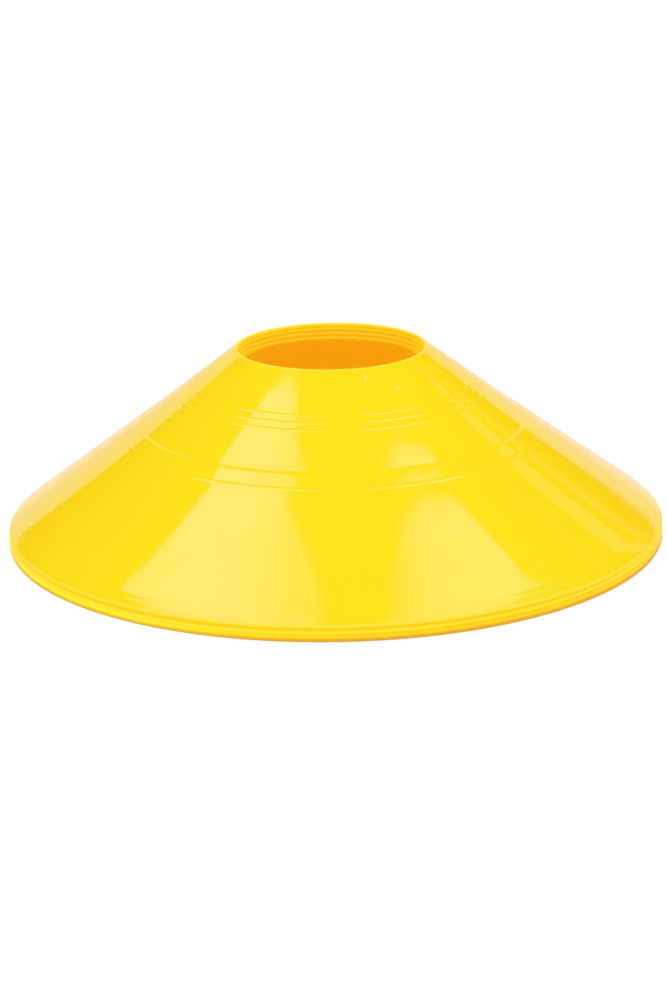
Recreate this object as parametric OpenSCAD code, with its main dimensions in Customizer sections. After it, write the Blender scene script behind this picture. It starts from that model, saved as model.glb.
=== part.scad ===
// Nest of moulded disc marker cones. Millimetres, +Z up.
// Origin: centre of the lowest cone's rim, on the ground. Every cone is one moulding, and all are alike.

/* [Cone] */
// Diameter across the rim
base_d = 190; // [140:1:320]
// Height of one cone, from the ground to its hole, before the hole's edge is broken
cone_h = 51; // [30:0.5:90]
// Diameter of the hole in the top
hole_d = 54; // [30:0.5:70]
// Slope above the shoulder over the slope below it
upper_steepness = 1.03; // [0.9:0.01:1.15]
// Wall thickness, square to the slope
wall = 0.9; // [0.7:0.05:1.0]
// Upright height of the rim's outer face, before its edge is broken
rim_face_h = 0.3; // [0.25:0.05:0.8]
// Radius that breaks the hole's top edge
hole_edge_r = 0.2; // [0.1:0.05:0.3]
// Radius that breaks the rim's outer edge
rim_edge_r = 0.4; // [0.1:0.05:0.45]

/* [Nest] */
// Least upright gap between the walls of nested cones
nest_gap = 0.23; // [0.2:0.01:1.5]
// Clearance between a cone's seat and the shoulder that carries it
seat_gap = 0.01; // [0.01:0.01:0.1]

/* [Shoulder] */
// Radius at which the flat shoulder begins, where the next cone sits
shoulder_r = 55.4; // [48:0.1:58]
// Width of the flat shoulder
shoulder_w = 0.8; // [0.7:0.1:2]

/* [Raised rings] */
// Radius of the innermost fine ring
ring_r = 40.1; // [36:0.1:42]
// Distance from one fine ring to the next
ring_pitch = 2.1; // [1.5:0.1:3]
// Number of fine rings
ring_count = 3; // [1:1:4]
// Width of a fine ring
ring_w = 1.1; // [0.6:0.1:1.4]
// Height of a fine ring over the slope
ring_h = 0.1; // [0.05:0.01:0.18]
// Distance from the shoulder's outer edge to the middle of the single ring below it
bead_gap = 3.9; // [3:0.1:15]
// Width of the single ring
bead_w = 1.3; // [0.8:0.1:2]
// Height of the single ring over the slope
bead_h = 0.1; // [0.05:0.01:0.18]

/* [Rim groove] */
// Distance of the shallow groove's middle from the rim
groove_inset = 2; // [1.5:0.1:20]
// Width of the groove
groove_w = 1.6; // [0.8:0.1:2.4]
// Depth of the groove
groove_d = 0.12; // [0.05:0.01:0.2]

/* [Hidden] */
$fn = 180;
// Steps across a ring or groove, and round a broken edge
swell_steps = 8;
edge_steps = 5;
base_r = base_d / 2;
hole_r = hole_d / 2;
// Fall of each slope for each millimetre outward
lower_slope =
    (cone_h - rim_face_h) / (base_r - shoulder_r - shoulder_w + upper_steepness * (shoulder_r - hole_r));
upper_slope = upper_steepness * lower_slope;
lower_angle = atan(lower_slope);
upper_angle = atan(upper_slope);
// Wall thickness measured upright
lower_wall_v = wall / cos(lower_angle);
upper_wall_v = wall / cos(upper_angle);
// Height that each cone adds to the nest
stack_pitch = max(lower_wall_v, upper_wall_v) + nest_gap;
// Depth of the seat, which is the underside of the shoulder: one stack pitch, less its clearance
seat_drop = stack_pitch - seat_gap;
// How far the seat's two edges lie outward of the shoulder's, to keep the gap between the slopes
seat_inner_shift = (seat_drop - upper_wall_v) / upper_slope;
seat_outer_shift = (seat_drop - lower_wall_v) / lower_slope;
shoulder_z = upper_z(shoulder_r);
seat_z = shoulder_z - seat_drop;
bead_r = shoulder_r + shoulder_w + bead_gap;
rim_inner_r = base_r - (lower_wall_v - rim_face_h) / lower_slope;
plastic_yellow = [1.0, 0.886, 0.11];

// Height of the outer slope above the shoulder, at a radius
function upper_z(r) = cone_h - (r - hole_r) * upper_slope;

// Height of the outer slope below the shoulder, at a radius
function lower_z(r) = rim_face_h + (base_r - r) * lower_slope;

// Points across a swelling of the slope, half a wave of the given width; a groove has a negative height
function upper_swell(r, w, h) =
    [for (i = [0:swell_steps])
        let (x = r - w / 2 + w * i / swell_steps) [x, upper_z(x) + h * sin(180 * i / swell_steps)]];

// The same, below the shoulder
function lower_swell(r, w, h) =
    [for (i = [0:swell_steps])
        let (x = r - w / 2 + w * i / swell_steps) [x, lower_z(x) + h * sin(180 * i / swell_steps)]];

// Height of the centre of an arc that touches a slope of the given angle, which is at height z there
function arc_centre_z(z, radius, angle) = z - radius / cos(angle);

// Points of a broken edge: an arc about a centre between two angles
function edge_arc(centre, radius, from, to) =
    [for (i = [0:edge_steps])
        let (a = from + (to - from) * i / edge_steps) centre + radius * [cos(a), sin(a)]];

// The hole's top edge, from its upright wall round to the slope
function hole_edge() =
    let (x = hole_r + hole_edge_r)
    edge_arc([x, arc_centre_z(upper_z(x), hole_edge_r, upper_angle)], hole_edge_r, 180, 90 - upper_angle);

// The rim's outer edge, from the slope round to its upright face
function rim_edge() =
    let (x = base_r - rim_edge_r)
    edge_arc([x, arc_centre_z(lower_z(x), rim_edge_r, lower_angle)], rim_edge_r, 90 - lower_angle, 0);

// The outside, from the hole down to the ground
function outer_profile() = concat(
    hole_edge(),
    [for (k = [0:ring_count - 1]) each upper_swell(ring_r + k * ring_pitch, ring_w, ring_h)],
    [[shoulder_r, shoulder_z], [shoulder_r + shoulder_w, shoulder_z]],
    lower_swell(bead_r, bead_w, bead_h),
    lower_swell(base_r - groove_inset, groove_w, -groove_d),
    rim_edge(),
    [[base_r, 0]]
);

// The smooth inside, from the ground up to the hole, with the seat under the shoulder
function inner_profile() = [
    [rim_inner_r, 0],
    [shoulder_r + shoulder_w + seat_outer_shift, seat_z],
    [shoulder_r + seat_inner_shift, seat_z],
    [hole_r, cone_h - upper_wall_v]
];

// One cone, raised to its place in the nest
module moulded_cone(level) {
    color(plastic_yellow)
        translate([0, 0, level * stack_pitch])
            rotate_extrude()
                polygon(concat(outer_profile(), inner_profile()));
}

module bottom_cone() {
    moulded_cone(0);
}

module second_cone() {
    moulded_cone(1);
}

module third_cone() {
    moulded_cone(2);
}

module top_cone() {
    moulded_cone(3);
}

bottom_cone();
second_cone();
third_cone();
top_cone();
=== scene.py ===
"""Nest of four moulded marker cones, in glossy yellow plastic, on a white studio floor."""

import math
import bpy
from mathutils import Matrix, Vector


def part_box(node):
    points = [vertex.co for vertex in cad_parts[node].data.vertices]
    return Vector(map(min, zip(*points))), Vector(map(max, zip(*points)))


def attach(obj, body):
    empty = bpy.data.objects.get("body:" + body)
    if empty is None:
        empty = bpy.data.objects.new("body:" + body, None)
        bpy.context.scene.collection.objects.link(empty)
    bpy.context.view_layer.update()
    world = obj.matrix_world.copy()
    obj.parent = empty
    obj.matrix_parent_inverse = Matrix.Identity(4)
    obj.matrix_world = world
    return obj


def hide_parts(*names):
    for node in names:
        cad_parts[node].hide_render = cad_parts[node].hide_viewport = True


bl_info = {
    "name": "Marker cone nest",
    "version": (1, 0, 0),
    "blender": (4, 5, 0),
    "location": "3D View > Sidebar > Marker Cones",
    "description": "Makes a nest of moulded sports marker cones, their plastic, and a small white studio",
    "category": "Add Mesh",
}

import bpy
import numpy as np
from mathutils import Matrix, Vector

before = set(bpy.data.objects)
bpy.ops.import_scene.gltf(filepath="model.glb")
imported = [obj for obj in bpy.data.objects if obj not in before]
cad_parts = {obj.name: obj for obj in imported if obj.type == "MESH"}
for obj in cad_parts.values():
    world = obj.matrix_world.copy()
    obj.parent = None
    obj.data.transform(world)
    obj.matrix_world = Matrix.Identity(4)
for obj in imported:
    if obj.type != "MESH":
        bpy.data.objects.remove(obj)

# One millimetre in the scene's metres
MM = 0.001
CONES = ("bottom_cone", "second_cone", "third_cone", "top_cone")
CONE_SPAN = [high - low for low, high in zip(*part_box("bottom_cone"))]

# Millimetres added to the rim's height, for each cone from the lowest up: all round, where it stands off on
# the right, and outside its crease
UNEVEN = ((0.0, 0.0, 0.0), (-0.17, 0.1, -0.22), (-0.35, 0.75, -0.45), (0.0, 0.25, -0.42))
# Low waves round an upper cone: their number, height in millimetres, phase, and its shift between cones
WAVES = ((3, 0.02, 0.6, 1.0), (5, 0.015, 2.1, -1.0), (9, 0.008, 1.3, 0.0))
# Share of the rim's radius at which the unevenness begins
UNEVEN_FROM = 0.62
# Direction in which a rim stands off, from the front to the right, and how broadly it does so
STAND_OFF_SIDE = math.radians(68)
STAND_OFF_BREADTH = 1.2
# Width of the band outside the crease, and how steeply its bend grows
CREASE = 2.8 * MM
CREASE_POWER = 1.25
# Height above which the nest leans
LEAN_FROM = 6 * MM

# Shares of painted shade and of painted glow, for light that comes through each cone, from the lowest up: at
# the hole's wall, on the crest beside the hole, and under the rim
LIT_THROUGH = ((1.0, 1.0, 0.9), (1.0, 1.0, 1.0), (0.95, 1.0, 0.35), (0.45, 0.1, 0.0))
# Pale nicks beside the hole: x, y and radius
MARKS = ((0.0094, -0.0282, 0.0007), (0.0094, -0.0292, 0.0006), (0.0184, -0.0288, 0.0009))

WHITE = (1.0, 1.0, 1.0)
BLACK = (0.0, 0.0, 0.0)

# Outlines of the two softboxes, seen from above, and the height at which they hang
SOFTBOX_HEIGHT = 1.0
LEFT_OUTLINE = (
    (-0.838, 0.36), (-0.8, 0.331), (-0.769, 0.309), (-0.69, 0.277), (-0.6, 0.243), (-0.545, 0.222),
    (-0.48, 0.17), (-0.41, 0.113), (-0.3, 0.035), (-0.237, -0.022), (-0.18, -0.06), (-0.115, -0.096),
    (-0.03, -0.13), (-0.03, -0.6), (-0.85, -0.6))
RIGHT_OUTLINE = (
    (0.185, -0.11), (0.2, -0.09), (0.235, -0.063), (0.272, -0.034), (0.325, 0.001), (0.361, 0.026),
    (0.407, 0.061), (0.476, 0.107), (0.52, 0.147), (0.555, 0.178), (0.611, 0.208), (0.663, 0.235),
    (0.72, 0.255), (1.0, 0.56), (1.0, -0.6), (0.185, -0.6))
# Where a softbox is dimmer: a point, the direction in from it, the width over which its light grows, and the
# share of light that it has at the point
LEFT_DIMMER = (
    ((-0.03, 0.0), (-1.0, 0.0), 0.06, 0.0), ((-0.03, 0.0), (-1.0, 0.0), 0.37, 0.33),
    ((-0.95, 0.0), (1.0, 0.0), 0.4, 0.5))
RIGHT_DIMMER = (((0.14, 0.0), (1.0, 0.0), 0.27, 0.2), ((0.8, 0.0), (-1.0, 0.0), 0.12, 0.12))
# Upright strips of light: name, bearing in degrees, width, height of the top, and colour
STRIPS = (("strip_a", 46.0, 0.11, 1.0, (0.85, 0.44, 0.42)), ("strip_b", 39.5, 0.06, 0.75, (0.8, 0.22, 0.2)))
STRIP_DISTANCE = 1.3
STRIP_FOOT = 0.3


class ConeShape(bpy.types.PropertyGroup):
    """Sizes of one moulding, all cones of the nest being alike"""

    rim_diameter: bpy.props.FloatProperty(
        name="Rim diameter", description="Width across the rim", default=CONE_SPAN[0], unit="LENGTH",
        precision=4)
    height: bpy.props.FloatProperty(
        name="Height", description="From the ground to the hole, before its edge is broken", default=0.0513,
        unit="LENGTH", precision=4)
    hole_diameter: bpy.props.FloatProperty(
        name="Hole", description="Diameter of the hole in the top", default=0.0536, unit="LENGTH",
        precision=4)
    wall: bpy.props.FloatProperty(
        name="Wall", description="Wall thickness, measured upright", default=0.001134, unit="LENGTH",
        precision=5)
    rim_wall: bpy.props.FloatProperty(
        name="Wall at the rim", description="Upright thickness to which the wall thins at the rim",
        default=0.00076, unit="LENGTH", precision=5)
    nest_gap: bpy.props.FloatProperty(
        name="Nest gap", description="Upright gap between the walls of nested cones", default=0.00023,
        unit="LENGTH", precision=5)
    rim_face: bpy.props.FloatProperty(
        name="Rim face", description="Upright height of the rim's outer face", default=0.0003, unit="LENGTH",
        precision=5)
    upper_steepness: bpy.props.FloatProperty(
        name="Upper steepness", description="Slope above the shoulder over the slope below the single ring",
        default=1.045)
    band_steepness: bpy.props.FloatProperty(
        name="Band steepness", description="Slope between shoulder and single ring over the slope below it",
        default=1.02)
    shoulder_radius: bpy.props.FloatProperty(
        name="Shoulder radius", description="Radius at which the flat shoulder begins", default=0.05535,
        unit="LENGTH", precision=4)
    shoulder_width: bpy.props.FloatProperty(
        name="Shoulder width", description="Width of the flat shoulder", default=0.0003, unit="LENGTH",
        precision=4)
    ring_radius: bpy.props.FloatProperty(
        name="First ring", description="Radius of the innermost fine ring", default=0.0401, unit="LENGTH",
        precision=4)
    ring_pitch: bpy.props.FloatProperty(
        name="Ring pitch", description="From one fine ring to the next", default=0.002, unit="LENGTH",
        precision=4)
    ring_count: bpy.props.IntProperty(name="Rings", description="Number of fine rings", default=3)
    ring_width: bpy.props.FloatProperty(
        name="Ring width", description="Width of a fine ring", default=0.0009, unit="LENGTH", precision=4)
    ring_height: bpy.props.FloatProperty(
        name="Ring height", description="Height of a fine ring over the slope", default=0.00004,
        unit="LENGTH", precision=5)
    bead_radius: bpy.props.FloatProperty(
        name="Single ring", description="Radius of the single ring below the shoulder", default=0.0599,
        unit="LENGTH", precision=4)
    bead_width: bpy.props.FloatProperty(
        name="Single ring width", description="Width of the single ring", default=0.0012, unit="LENGTH",
        precision=4)
    bead_height: bpy.props.FloatProperty(
        name="Single ring height", description="Height of the single ring over the slope", default=0.00005,
        unit="LENGTH", precision=5)
    groove_inset: bpy.props.FloatProperty(
        name="Groove inset", description="From the rim to the middle of its shallow groove", default=0.0024,
        unit="LENGTH", precision=4)
    groove_width: bpy.props.FloatProperty(
        name="Groove width", description="Width of the rim's groove", default=0.0018, unit="LENGTH",
        precision=4)
    groove_depth: bpy.props.FloatProperty(
        name="Groove depth", description="Depth of the rim's groove", default=0.00005, unit="LENGTH",
        precision=5)
    lean: bpy.props.FloatProperty(
        name="Lean", description="How far the soft nest leans to the left, for each unit of height",
        default=0.011, precision=4)
    spokes: bpy.props.IntProperty(name="Spokes", description="Steps round each cone", default=280)


class PlasticLook(bpy.types.PropertyGroup):
    """Colours and gloss of the moulded plastic"""

    body: bpy.props.FloatVectorProperty(
        name="Body", description="Colour of the plastic", subtype="COLOR", size=3,
        default=(0.97, 0.79, 0.012))
    # The foot colour is a painted contact shadow on the lowest edge of the bottom cone's rim, where it stands
    # on the floor
    foot: bpy.props.FloatVectorProperty(
        name="Foot", description="Darker tone of the plastic's lowest edge, where it stands", subtype="COLOR",
        size=3, default=(0.6, 0.38, 0.012))
    # The edge colour is a painted highlight, for light caught by the rounded edges at the hole and the upper
    # rims
    edge: bpy.props.FloatVectorProperty(
        name="Edge", description="Lighter tone of the broken edges at the hole and the rim", subtype="COLOR",
        size=3, default=(1.0, 0.9, 0.02))
    mark: bpy.props.FloatVectorProperty(
        name="Mark", description="Colour of the pale nicks beside the hole", subtype="COLOR", size=3,
        default=(1.0, 0.85, 0.3))
    deep: bpy.props.FloatVectorProperty(
        name="Deep", description="Colour where the plastic is thicker or shaded by itself", subtype="COLOR",
        size=3, default=(0.96, 0.74, 0.01))
    inner: bpy.props.FloatVectorProperty(
        name="Inner", description="Colour of the shaded inner face", subtype="COLOR", size=3,
        default=(0.84, 0.43, 0.0))
    glow: bpy.props.FloatVectorProperty(
        name="Glow", description="Colour of the light that comes through the wall to the inside",
        subtype="COLOR", size=3, default=(0.73, 0.38, 0.0))
    rim_glow: bpy.props.FloatVectorProperty(
        name="Rim glow", description="Colour of the light that comes through between the rims",
        subtype="COLOR", size=3, default=(0.95, 0.76, 0.01))
    glow_strength: bpy.props.FloatProperty(
        name="Glow strength", description="How much light comes through to the inside", default=0.52)
    roughness: bpy.props.FloatProperty(
        name="Roughness", description="Roughness of a clean polished face", default=0.05, subtype="FACTOR")


class StudioSetup(bpy.types.PropertyGroup):
    """Camera and light of the studio"""

    camera_distance: bpy.props.FloatProperty(
        name="Camera distance", description="From the lens to the middle of the rim", default=0.75,
        unit="LENGTH")
    camera_elevation: bpy.props.FloatProperty(
        name="Camera elevation", description="Height of the lens over the ground, as an angle",
        default=math.radians(18.305), subtype="ANGLE")
    camera_roll: bpy.props.FloatProperty(
        name="Camera roll", description="Turn of the camera about its own axis",
        default=math.radians(-0.9875), subtype="ANGLE")
    camera_pan: bpy.props.FloatProperty(
        name="Camera pan", description="Sideways turn off the middle of the rim", default=0.000932,
        subtype="ANGLE")
    camera_tilt: bpy.props.FloatProperty(
        name="Camera tilt", description="Upward turn off the middle of the rim", default=0.010453,
        subtype="ANGLE")
    lens: bpy.props.FloatProperty(name="Lens", description="Focal length in millimetres", default=91.93)
    softbox_left: bpy.props.FloatProperty(
        name="Left softbox", description="Brightness, where white paper in plain light is 1", default=3.05)
    softbox_right: bpy.props.FloatProperty(
        name="Right softbox", description="Brightness, where white paper in plain light is 1", default=2.3)
    backdrop: bpy.props.FloatProperty(
        name="Backdrop", description="Brightness of the white backdrop", default=0.95)
    backdrop_tint: bpy.props.FloatVectorProperty(
        name="Backdrop tint", description="Colour of the backdrop in the gloss of the plastic",
        subtype="COLOR", size=3, default=(1.0, 0.72, 0.7))
    ceiling: bpy.props.FloatVectorProperty(
        name="Ceiling", description="Colour of the dark room over the stage, in the gloss of the plastic",
        subtype="COLOR", size=3, default=(0.8, 0.1, 0.0))
    fill: bpy.props.FloatProperty(
        name="Fill", description="Brightness of the soft light from all round", default=0.815)


class Signal:
    """A node's output that takes part in arithmetic: each operator adds a Math node and gives its output."""

    def __init__(self, bench, socket):
        self.bench = bench
        self.socket = socket

    def math(self, operation, *terms):
        return self.bench.add("ShaderNodeMath", {"operation": operation}, dict(enumerate(terms)))

    def __add__(self, other):
        return self.math("ADD", self, other)

    __radd__ = __add__

    def __sub__(self, other):
        return self.math("SUBTRACT", self, other)

    def __rsub__(self, other):
        return self.math("SUBTRACT", other, self)

    def __mul__(self, other):
        return self.math("MULTIPLY", self, other)

    __rmul__ = __mul__

    def __truediv__(self, other):
        return self.math("DIVIDE", self, other)

    def __rtruediv__(self, other):
        return self.math("DIVIDE", other, self)

    def __pow__(self, other):
        return self.math("POWER", self, other)

    def most(self, other):
        """The greater of the two."""
        return self.math("MAXIMUM", self, other)

    def ramp(self, low, high):
        """0 below low, 1 above high, and a smooth step between them."""
        return self.bench.add(
            "ShaderNodeMapRange", {"interpolation_type": "SMOOTHSTEP"},
            {"Value": self, "From Min": low, "From Max": high, "To Min": 0.0, "To Max": 1.0})


class Bench:
    """A node tree under construction."""

    def __init__(self, tree):
        self.tree = tree
        tree.nodes.clear()

    def add(self, kind, settings=None, sockets=None, output=0):
        """Adds a node: its settings first, then values or links for its sockets. Gives one of its outputs."""
        node = self.tree.nodes.new(kind)
        for key, value in (settings or {}).items():
            setattr(node, key, value)
        for key, value in (sockets or {}).items():
            if isinstance(value, Signal):
                self.tree.links.new(value.socket, node.inputs[key])
            else:
                node.inputs[key].default_value = value
        return Signal(self, node.outputs[output]) if len(node.outputs) else node

    def mix(self, factor, first, second):
        """Colour between two colours."""
        ends = {0: factor, 6: opaque(first), 7: opaque(second)}
        return self.add("ShaderNodeMix", {"data_type": "RGBA"}, ends, output=2)

    def vector(self, operation, *terms):
        """Vector arithmetic on places or directions."""
        return self.add("ShaderNodeVectorMath", {"operation": operation}, dict(enumerate(terms)))

    def noise(self, place, scale, detail=2.0, roughness=0.5):
        """Cloudy noise from 0 to 1, about 0.5 in the mean."""
        return self.add(
            "ShaderNodeTexNoise", None,
            {"Vector": place, "Scale": scale, "Detail": detail, "Roughness": roughness})

    def split(self, vector):
        """The three parts of a vector."""
        node = self.add("ShaderNodeSeparateXYZ", None, {0: vector}).socket.node
        return [Signal(self, socket) for socket in node.outputs]

    def seen_by_camera(self):
        """1 for a ray from the camera."""
        return self.add("ShaderNodeLightPath", output=0)

    def seen_in_gloss(self):
        """1 for a ray off a glossy face."""
        return self.add("ShaderNodeLightPath", output=3)

    def seen_through(self):
        """1 for a ray that has passed through a face."""
        return self.add("ShaderNodeLightPath", output=6)


def opaque(colour):
    """A three-number colour with full alpha, or a link as it is."""
    return colour if isinstance(colour, Signal) else (*tuple(colour)[:3], 1.0)


def new_material(name):
    """An empty node material and its bench."""
    material = bpy.data.materials.new(name)
    material.use_nodes = True
    return material, Bench(material.node_tree)


def finish_mesh(name, points, faces, smooth=True):
    """A mesh object in the scene, from an array of points and one of faces with equal numbers of corners."""
    mesh = bpy.data.meshes.new(name)
    mesh.vertices.add(len(points))
    mesh.vertices.foreach_set("co", np.ascontiguousarray(points, dtype=np.float32).ravel())
    mesh.loops.add(faces.size)
    mesh.loops.foreach_set("vertex_index", faces.astype(np.int32).ravel())
    mesh.polygons.add(len(faces))
    mesh.polygons.foreach_set("loop_start", np.arange(0, faces.size, faces.shape[1], dtype=np.int32))
    mesh.polygons.foreach_set("use_smooth", np.full(len(faces), smooth))
    mesh.update(calc_edges=True)
    mesh.validate()
    piece = bpy.data.objects.new(name, mesh)
    bpy.context.scene.collection.objects.link(piece)
    return piece


def softened(corners, radii, width):
    """Height of a broken line at each radius, with rounded corners: its mean over a span of this width."""
    corners = np.asarray(corners)
    spread = np.linspace(-0.5, 0.5, 11) * width
    return np.interp(radii[:, None] + spread, corners[:, 0], corners[:, 1]).mean(axis=1)


def swelling(radii, middle, width, height):
    """A raised ring's height over the slope: a squared cosine, one at its middle and nought at its feet."""
    across = np.clip((radii - middle) / width, -0.5, 0.5)
    return height * np.cos(math.pi * across) ** 2


def steps(*spans):
    """Radii in rising order. Each span is where it starts, where it ends and how far apart its radii are.

    A span stops a quarter of a step before its end, so that the next one starts with a clear step.
    """
    return np.concatenate([np.arange(start, end - 0.25 * gap, gap) for start, end, gap in spans])


def arc(centre, radius, start, end, count):
    """Points on an arc about a centre, between two angles in degrees."""
    turn = np.radians(np.linspace(start, end, count))
    return np.stack([centre[0] + radius * np.cos(turn), centre[1] + radius * np.sin(turn)], axis=1)


def cone_section(shape):
    """The closed outline of one cone's wall, as radius and height, and four shares for each of its points.

    Outside it is a broken line from hole to rim: upper slope, flat shoulder, band, lower slope. The slopes
    keep their given ratios and are scaled so that the line ends at the top of the rim's face. Its corners
    are rounded, and the rings and the groove are added to it. Inside it is the same line, lowered by the
    wall, with the seat under the shoulder one stack pitch below the shoulder, and with a wall that thins
    towards the rim.

    The shares say how far a point is inner face, hole wall, crest beside the hole, and outer face that the
    next cone's rim covers.
    """
    base, hole, rim_face = shape.rim_diameter / 2, shape.hole_diameter / 2, shape.rim_face
    low_turn, high_turn = shape.shoulder_radius, shape.shoulder_radius + shape.shoulder_width
    bead, groove = shape.bead_radius, base - shape.groove_inset
    runs = np.array([low_turn - hole, bead - high_turn, base - bead])
    ratios = np.array([shape.upper_steepness, shape.band_steepness, 1.0])
    upper, band, lower = ratios * (shape.height - rim_face) / (runs @ ratios)
    shoulder = shape.height - upper * runs[0]
    foot = shoulder - band * runs[1]
    # The broken lines run this far past their ends, so that the rounding of their corners doesn't reach those
    past = 10 * MM
    line = [
        (hole - past, shape.height + past * upper), (low_turn, shoulder), (high_turn, shoulder), (bead, foot),
        (base + past, rim_face - past * lower)]

    # Steps along the slopes, fine across each form and plain between them
    fine, plain = 0.06 * MM, 2.2 * MM
    rings = [shape.ring_radius + k * shape.ring_pitch for k in range(shape.ring_count)]
    ring_reach, bead_reach, turn_reach = 0.9 * MM, 1.0 * MM, 1.4 * MM
    hole_round, rim_round, nick = 0.5 * MM, 0.45 * MM, 0.06 * MM
    radii = steps(
        (hole + hole_round * 2, rings[0] - ring_reach, plain / 2),
        (rings[0] - ring_reach, rings[-1] + ring_reach, fine),
        (rings[-1] + ring_reach, low_turn - turn_reach, plain),
        (low_turn - turn_reach, high_turn + turn_reach, fine),
        (high_turn + turn_reach, bead - bead_reach, plain / 2),
        (bead - bead_reach, bead + bead_reach, fine),
        (bead + bead_reach, groove - turn_reach, plain),
        (groove - turn_reach, base - rim_round * 1.3, fine))
    height = softened(line, radii, 0.7 * MM)
    for ring in rings:
        height += swelling(radii, ring, shape.ring_width, shape.ring_height)
    height += swelling(radii, bead, shape.bead_width, shape.bead_height)
    height -= swelling(radii, groove, shape.groove_width, shape.groove_depth)

    # A rounded edge is an arc that touches its slope, and its centre lies below that by radius over cosine
    hole_top = shape.height - hole_round * (upper + math.hypot(1, upper))
    rim_top = rim_face + rim_round * (lower - math.hypot(1, lower))
    up_angle, low_angle = math.degrees(math.atan(upper)), math.degrees(math.atan(lower))
    round_count, nick_count = 9, 4
    hole_edge = arc((hole + hole_round, hole_top), hole_round, 180, 90 - up_angle, round_count)
    rim_edge = arc((base - rim_round, rim_top), rim_round, 90 - low_angle, 0, round_count)
    rim_foot = arc((base - nick, nick), nick, 0, -90, nick_count)

    seat = shoulder - shape.wall - shape.nest_gap
    bend = foot - shape.wall
    rim_inner = base - (shape.rim_wall - rim_face) / lower
    inner_fall = bend / (rim_inner - bead)
    inner_line = [
        (hole - past, shape.height - shape.wall + past * upper), (low_turn + shape.nest_gap / upper, seat),
        (high_turn + shape.nest_gap / band, seat), (bead, bend), (rim_inner + past, -past * inner_fall)]
    inner_radii = steps(
        (hole + 0.2 * MM, low_turn - 0.8 * MM, plain),
        (low_turn - 0.8 * MM, high_turn + 1.6 * MM, fine * 2),
        (high_turn + 1.6 * MM, rim_inner - 0.3 * MM, plain))
    inside = np.stack([inner_radii, softened(inner_line, inner_radii, 0.4 * MM)], axis=1)[::-1]
    lip = arc((hole + nick, shape.height - shape.wall - nick / 2), nick, 270, 180, nick_count)

    # The shares fall across the hole's rounding and the rim's, and towards the rim on the inner face
    falling = np.linspace(1.0, 0.0, round_count)
    crest = np.interp(radii, [hole + 1.7 * MM, hole + 4.2 * MM], [1.0, 0.0])
    under_rim = np.interp(radii, [base - 5 * MM, base - 2.5 * MM], [0.0, 1.0])
    inner_share = np.interp(inside[:, 0], [bead, base - 10 * MM], [1.0, 0.5])
    stretches = (
        (hole_edge, 0.0, falling, 1.0 - falling, 0.0),
        (np.stack([radii, height], axis=1), 0.0, 0.0, crest, under_rim),
        (rim_edge, 0.0, 0.0, 0.0, 1.0 - 0.4 * (1.0 - falling)),
        (rim_foot, 0.0, 0.0, 0.0, 0.6),
        (np.array([(rim_inner, 0.0)]), 0.5, 0.0, 0.0, 0.0),
        (inside, inner_share, 0.0, 0.0, 0.0),
        (lip, 0.0, 1.0, 0.0, 0.0))
    section = np.concatenate([points for points, *shares in stretches])
    rows = [
        np.stack([np.broadcast_to(share, len(points)) for share in shares]) for points, *shares in stretches]
    return section, np.concatenate(rows, axis=1)


def turned(section, spokes):
    """A closed outline carried round the upright axis.

    Each point is radius times sine of the turn, minus radius times its cosine, and height.
    """
    turn = np.linspace(0, 2 * math.pi, spokes, endpoint=False)
    radius, height = section[:, 0, None], section[:, 1, None]
    points = np.stack([radius * np.sin(turn), -radius * np.cos(turn), height + 0 * turn], axis=2)
    rows, columns = np.meshgrid(np.arange(len(section)), np.arange(spokes), indexing="ij")
    next_row, next_column = (rows + 1) % len(section), (columns + 1) % spokes
    corners = ((rows, columns), (next_row, columns), (next_row, next_column), (rows, next_column))
    faces = np.stack([row * spokes + column for row, column in corners], axis=2)
    return points.reshape(-1, 3), faces.reshape(-1, 4)


def handled(points, base, level, settle, stand_off, bend):
    """The slight unevenness of a handled moulding.

    Low waves, the rim's settling and its standing off on one side all grow as the square of the distance
    out past the place where they begin. The waves are sums of cosines of the turn, and the standing off is
    a squared cosine about its side. Outside the crease the bend is added, as a power of the distance past
    it. The lowest cone has no waves.
    """
    radius = np.hypot(points[:, 0], points[:, 1])
    turn = np.arctan2(points[:, 0], -points[:, 1])
    out = np.clip((radius - UNEVEN_FROM * base) / ((1 - UNEVEN_FROM) * base), 0, 1)
    wave = sum(size * np.cos(count * turn + phase + shift * level) for count, size, phase, shift in WAVES)
    facing = np.clip(np.cos((turn - STAND_OFF_SIDE) / STAND_OFF_BREADTH), 0, 1) ** 2
    past_crease = np.clip((radius - (base - CREASE)) / CREASE, 0, 1)
    points[:, 2] += MM * out ** 2 * (wave * (level > 0) + settle + stand_off * facing)
    points[:, 2] += MM * bend * past_crease ** CREASE_POWER
    return points


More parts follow.
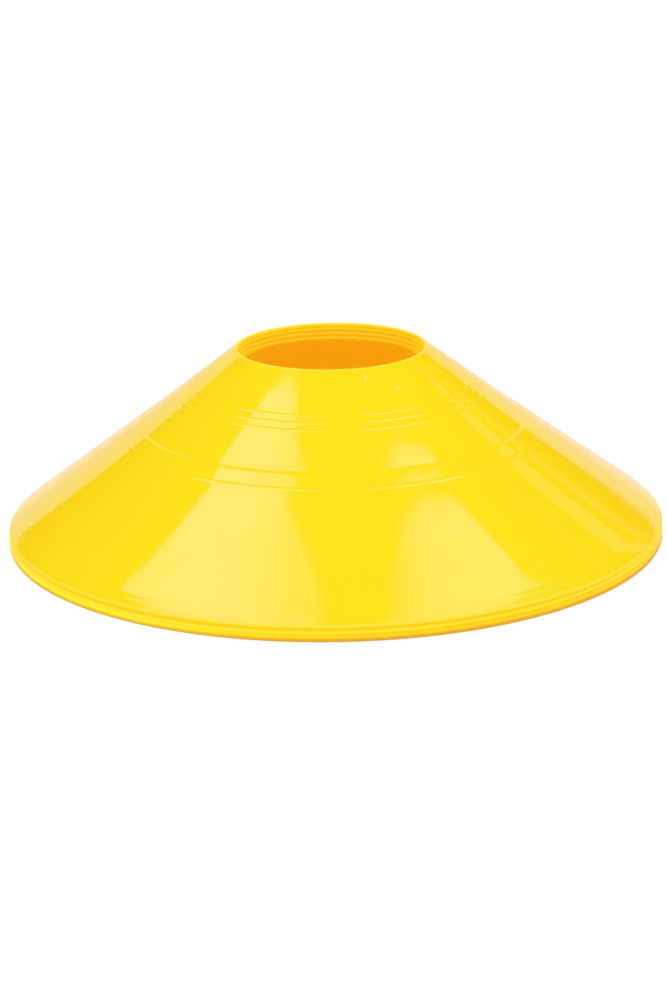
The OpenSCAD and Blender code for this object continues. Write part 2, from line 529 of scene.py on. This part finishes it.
def moulded_plastic(name, look, shape, offset):
    """Glossy yellow plastic.

    It has cloudy tone, faint flow lines outward from the hole, fine ripples in its gloss, small scuffs, a rim
    that is darker towards its edge, a painted highlight on the broken edges at the hole and the upper rims,
    pale nicks beside the hole and a painted contact shadow at the bottom cone's foot. Where the mesh's inside
    attribute says so it takes the inner colour, as painted shade, and an orange glow, as painted light for
    light that comes through the wall, which turns yellow towards the rim and at the hole. The offset shifts
    the patterns, so that no two cones are alike.
    """
    material, bench = new_material(name)
    hole, rim = shape.hole_diameter / 2, shape.rim_diameter / 2
    pitch = shape.wall + shape.nest_gap
    top = shape.height + (len(CONES) - 1) * pitch
    own_place = bench.add("ShaderNodeTexCoord", output=3)
    place = bench.vector("ADD", own_place, (offset, 0.37 * offset, 0.0))
    x, y, z = bench.split(own_place)
    x = x + shape.lean * (z - LEAN_FROM).most(0.0)
    across = x / rim
    radius = (x * x + y * y) ** 0.5
    spoke_parts = {0: x / radius, 1: y / radius, 2: radius * 14 + offset * 9}
    spoke = bench.add("ShaderNodeCombineXYZ", None, spoke_parts)

    clouds = bench.noise(place, scale=26.0, detail=3.0)
    flow = bench.noise(spoke, scale=7.0, detail=3.0, roughness=0.6)
    ripple = bench.noise(place, scale=70.0)
    grain = bench.noise(place, scale=900.0)
    scuff = bench.noise(spoke, scale=60.0, detail=4.0, roughness=0.7).ramp(0.66, 0.78)
    tone = (clouds * 0.6 + flow * 0.4).ramp(0.3, 0.7)

    # Places on the nest: the rim, darker towards its edge, the two broken edges, where a highlight is
    # painted, above the two lowest rims, and the foot, where a contact shadow is painted
    # Darker towards the rim, over its last 2.5 millimetres
    rim_darkening = radius.ramp(rim - 2.5 * MM, rim - 0.2 * MM)
    hole_edge = 1.0 - radius.ramp(hole + 0.4 * MM, hole + 1.4 * MM)
    edges = hole_edge.most(radius.ramp(rim - 0.8 * MM, rim - 0.2 * MM))
    raised = z.ramp(1.17 * pitch, 1.76 * pitch)
    # Painted contact shadow on about the lowest millimetre of the bottom cone's rim
    foot = (1.0 - z.ramp(0.2 * MM, 0.9 * MM)) * radius.ramp(rim - 5 * MM, rim - 3 * MM)
    marks = 0.0
    for mark_x, mark_y, mark_radius in MARKS:
        away = ((x - mark_x) ** 2.0 + (y - mark_y) ** 2.0) ** 0.5
        marks = (1.0 - away.ramp(0.3 * mark_radius, mark_radius)).most(marks)

    # Light through the wall is yellow at the hole, most of all the top cone's, and at the rim, less so low on
    # the right
    inside = bench.add("ShaderNodeAttribute", {"attribute_name": "inside"}, output=2)
    beside_hole = 1.0 - radius.ramp(hole + 0.4 * MM, hole + 1.7 * MM)
    at_hole = (0.25 + 0.6 * z.ramp(top - 1.9 * MM, top - 1.5 * MM)) * beside_hole
    low_rims = 0.85 - 0.5 * across.ramp(-0.63, 0.0)
    at_rim = radius.ramp(rim - 20 * MM, rim - 5 * MM) * (low_rims + (1.0 - low_rims) * raised)
    outward = at_rim.most(at_hole)
    lit_yellow = outward * (1.0 - 0.5 * across.ramp(-0.21, 0.53))

    skin = bench.mix(tone * 0.35, look.body, look.deep)
    skin = bench.mix(rim_darkening * 0.25, skin, look.deep)
    skin = bench.mix(marks * 0.5, skin, look.mark)
    # Painted highlight on the broken edges at the hole and on the upper cones' rims
    skin = bench.mix(edges * raised * 0.4, skin, look.edge)
    # Painted shade: where the inside attribute is set, on the inner face, the hole wall and the faces covered
    # between the rims, the colour turns to the inner or deep colour
    skin = bench.mix(inside, skin, bench.mix(outward, look.inner, look.deep))
    # Painted contact shadow: the foot takes the darker foot colour
    skin = bench.mix(foot * 0.8, skin, look.foot)
    roughness = look.roughness + (clouds - 0.5) * 0.03 + scuff * 0.06 + edges * 0.5
    glow_share = inside * (0.85 + 0.15 * clouds) * (1.0 - 0.8 * foot)
    glow = bench.mix(glow_share, BLACK, bench.mix(lit_yellow, look.glow, look.rim_glow))
    shine = bench.add(
        "ShaderNodeBump", None,
        {"Strength": 0.2, "Distance": 0.4 * MM, "Height": ripple * 0.25 + flow * 0.15 + grain * 0.006})
    # The tint takes the green out of weak reflections
    surface = bench.add(
        "ShaderNodeBsdfPrincipled", None,
        {"Base Color": skin, "Roughness": roughness, "IOR": 1.5, "Specular Tint": opaque((1.0, 0.35, 1.0)),
         "Emission Color": glow, "Emission Strength": look.glow_strength, "Normal": shine})
    bench.add("ShaderNodeOutputMaterial", None, {0: surface})
    return material


def plain_glow(name, strength, camera_strength=None, dimmer=(), tint=WHITE):
    """A sheet that gives off light to its front, and can look pure white to the camera.

    Each row of dimmer is a point on the sheet, the direction in from it, the width over which the light grows
    from there as a smooth step, and the share of light at the point.
    """
    material, bench = new_material(name)
    level, colour = strength, opaque(tint)
    if camera_strength is not None:
        seen = bench.seen_by_camera()
        level = seen * (camera_strength - strength) + strength
        colour = bench.mix(seen, tint, WHITE)
    if dimmer:
        x, y, _ = bench.split(bench.add("ShaderNodeTexCoord", output=3))
    for (at_x, at_y), (in_x, in_y), width, share in dimmer:
        way_in = ((x - at_x) * in_x + (y - at_y) * in_y).ramp(0, width)
        level = way_in * (1 - share) * level + share * level
    light = bench.add("ShaderNodeEmission", None, {"Color": colour, "Strength": level})
    back = bench.add("ShaderNodeNewGeometry", output=6)
    nothing = bench.add("ShaderNodeBsdfTransparent")
    front_only = bench.add("ShaderNodeMixShader", None, {0: back, 1: light, 2: nothing})
    bench.add("ShaderNodeOutputMaterial", None, {0: front_only})
    return material


def sheet(name, corners, material, seen_by_camera=False):
    """A flat sheet whose face points to the side from which its corners run anticlockwise."""
    piece = finish_mesh(name, np.array(corners, dtype=float), np.arange(len(corners))[None], smooth=False)
    piece.data.materials.append(material)
    piece.visible_camera = seen_by_camera
    return piece


class MARKERCONE_OT_camera(bpy.types.Operator):
    """Place the camera in front of the nest and a little above it"""

    bl_idname = "marker_cone.camera"
    bl_label = "Place the camera"

    def execute(self, context):
        """Looks at the rim's middle from its distance and elevation, then rolls, pans and tilts."""
        studio = context.scene.marker_studio
        rise = studio.camera_elevation
        place = Vector((0, -math.cos(rise), math.sin(rise))) * studio.camera_distance
        ahead = -place.normalized()
        right = Vector((1, 0, 0))
        down = ahead.cross(right)
        cos, sin = math.cos(studio.camera_roll), math.sin(studio.camera_roll)
        right, down = right * cos - down * sin, right * sin + down * cos
        cos, sin = math.cos(studio.camera_pan), math.sin(studio.camera_pan)
        right, ahead = right * cos + ahead * sin, ahead * cos - right * sin
        cos, sin = math.cos(studio.camera_tilt), math.sin(studio.camera_tilt)
        down, ahead = down * cos + ahead * sin, ahead * cos - down * sin
        data = bpy.data.cameras.new("camera")
        data.lens = studio.lens
        data.sensor_width = 36.0
        data.clip_start, data.clip_end = 0.01, 50.0
        camera = bpy.data.objects.new("camera", data)
        camera.matrix_world = Matrix.Translation(place) @ Matrix((right, -down, -ahead)).transposed().to_4x4()
        context.scene.collection.objects.link(camera)
        context.scene.camera = camera
        return {"FINISHED"}


class MARKERCONE_OT_stage(bpy.types.Operator):
    """Lay the white floor, hang the backdrop and the softboxes, and set the light from all round"""

    bl_idname = "marker_cone.stage"
    bl_label = "Set the stage"

    def execute(self, context):
        studio = context.scene.marker_studio
        self.lay_floor(studio, context.scene.marker_shape.rim_diameter / 2)
        self.hang_backdrop(studio)
        for name, outline, strength, dimmer in (
                ("softbox_left", LEFT_OUTLINE, studio.softbox_left, LEFT_DIMMER),
                ("softbox_right", RIGHT_OUTLINE, studio.softbox_right, RIGHT_DIMMER)):
            corners = [(x, y, SOFTBOX_HEIGHT) for x, y in outline]
            sheet(name, corners, plain_glow(name, strength, dimmer=dimmer))
        for name, bearing, width, top, tint in STRIPS:
            self.stand_strip(name, math.radians(bearing), width, top, tint)
        self.set_surroundings(context.scene, studio)
        return {"FINISHED"}

    def lay_floor(self, studio, rim):
        """A wide white floor, which the camera sees mostly as plain white, and partly as lit.

        The lit part keeps the shadow. Under the nest the floor is plain paper in the nest's shade.
        """
        material, bench = new_material("floor_paper")
        seen = bench.seen_by_camera()
        mirrored = bench.seen_in_gloss().most(bench.seen_through())
        paper = bench.add("ShaderNodeBsdfDiffuse", None, {"Color": opaque((0.86, 0.86, 0.86))})
        shown = bench.mix(seen, studio.backdrop_tint, WHITE)
        white = bench.add("ShaderNodeEmission", None, {"Color": shown, "Strength": 1.1})
        x, y, _ = bench.split(bench.add("ShaderNodeTexCoord", output=3))
        outside_rim = ((x * x + y * y) ** 0.5).ramp(rim - 0.7 * MM, rim + 0.7 * MM)
        share = seen.most(mirrored) * 0.8 * outside_rim
        mixed = bench.add("ShaderNodeMixShader", None, {0: share, 1: paper, 2: white})
        bench.add("ShaderNodeOutputMaterial", None, {0: mixed})
        reach = 6.0
        corners = [(-reach, -reach, 0), (reach, -reach, 0), (reach, reach, 0), (-reach, reach, 0)]
        sheet("floor", corners, material, seen_by_camera=True)

    def hang_backdrop(self, studio):
        """A white sheet behind the nest, tinted in the gloss and pure white to the camera."""
        paper = plain_glow("backdrop_paper", studio.backdrop, camera_strength=1.0, tint=studio.backdrop_tint)
        left, right, away, top = -0.88, 0.77, 1.4, 2.2
        corners = [(left, away, 0), (right, away, 0), (right, away, top), (left, away, top)]
        sheet("backdrop", corners, paper, seen_by_camera=True)

    def stand_strip(self, name, bearing, width, top, tint):
        """An upright strip of light that faces the nest from its bearing."""
        way = Vector((math.sin(bearing), math.cos(bearing), 0))
        side = Vector((way.y, -way.x, 0)) * width / 2
        ends = ((-1, STRIP_FOOT), (1, STRIP_FOOT), (1, top), (-1, top))
        corners = [tuple(way * STRIP_DISTANCE + side * turn + Vector((0, 0, z))) for turn, z in ends]
        sheet(name, corners, plain_glow(name, 1.0, tint=tint))

    def set_surroundings(self, scene, studio):
        """White to the camera, and to all else but the gloss a soft fill.

        In the gloss it is white near the horizon under a dark ceiling. The fill is brighter near the ground
        and on the right.
        """
        world = bpy.data.worlds.new("studio")
        scene.world = world
        world.use_nodes = True
        bench = Bench(world.node_tree)
        seen = bench.seen_by_camera().most(bench.seen_through())
        mirrored = bench.seen_in_gloss()
        across, _, height = bench.split(bench.add("ShaderNodeTexCoord", output=0))
        horizon = 1 - height.ramp(math.sin(math.radians(7)), math.sin(math.radians(13)))
        fill = studio.fill * (1.15 - 0.3 * height.ramp(0.0, 1.0)) * (1 + 0.2 * across)
        paper = tuple(studio.backdrop * part for part in studio.backdrop_tint)
        gloss = bench.mix(horizon, studio.ceiling, paper)
        colour = bench.mix(seen, bench.mix(mirrored, WHITE, gloss), WHITE)
        level = fill + seen.most(mirrored) * (1.0 - fill)
        light = bench.add("ShaderNodeBackground", None, {"Color": colour, "Strength": level})
        bench.add("ShaderNodeOutputWorld", None, {0: light})


class MARKERCONE_OT_nest(bpy.types.Operator):
    """Mould the four cones of the nest, each on its own body"""

    bl_idname = "marker_cone.nest"
    bl_label = "Mould the cones"

    def execute(self, context):
        shape, look = context.scene.marker_shape, context.scene.marker_plastic
        section, shares = cone_section(shape)
        for level, name in enumerate(CONES):
            points, faces = turned(section, shape.spokes)
            points = handled(points, shape.rim_diameter / 2, level, *UNEVEN[level])
            points[:, 2] += level * (shape.wall + shape.nest_gap)
            points[:, 0] -= shape.lean * np.clip(points[:, 2] - LEAN_FROM, 0, None)
            cone = finish_mesh(name + "_moulding", points, faces)
            inside = np.array((1.0, *LIT_THROUGH[level])) @ shares
            mask = cone.data.attributes.new("inside", "FLOAT", "POINT")
            mask.data.foreach_set("value", np.repeat(inside, shape.spokes).astype(np.float32))
            cone.data.materials.append(moulded_plastic(name + "_plastic", look, shape, 1.7 * level))
            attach(cone, name)
            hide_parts(name)
        return {"FINISHED"}


class MARKERCONE_PT_panel(bpy.types.Panel):
    """The sizes and colours of the nest, and a button for each step"""

    bl_idname = "MARKERCONE_PT_panel"
    bl_label = "Marker Cones"
    bl_space_type = "VIEW_3D"
    bl_region_type = "UI"
    bl_category = "Marker Cones"

    def draw(self, context):
        for group in (context.scene.marker_shape, context.scene.marker_plastic, context.scene.marker_studio):
            box = self.layout.box()
            for name in group.bl_rna.properties.keys():
                if name not in ("rna_type", "name"):
                    box.prop(group, name)
        for operator in OPERATORS:
            self.layout.operator(operator.bl_idname)


OPERATORS = (MARKERCONE_OT_camera, MARKERCONE_OT_stage, MARKERCONE_OT_nest)
GROUPS = {"marker_shape": ConeShape, "marker_plastic": PlasticLook, "marker_studio": StudioSetup}


def register():
    for kind in (*GROUPS.values(), *OPERATORS, MARKERCONE_PT_panel):
        bpy.utils.register_class(kind)
    for name, kind in GROUPS.items():
        setattr(bpy.types.Scene, name, bpy.props.PointerProperty(type=kind))


def unregister():
    for name in GROUPS:
        delattr(bpy.types.Scene, name)
    for kind in (MARKERCONE_PT_panel, *OPERATORS[::-1], *GROUPS.values()):
        bpy.utils.unregister_class(kind)


def main():
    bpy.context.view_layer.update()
    register()
    bpy.context.scene.view_settings.view_transform = "Standard"
    bpy.ops.marker_cone.camera()
    bpy.ops.marker_cone.stage()
    bpy.ops.marker_cone.nest()


if __name__ == "__main__":
    main()
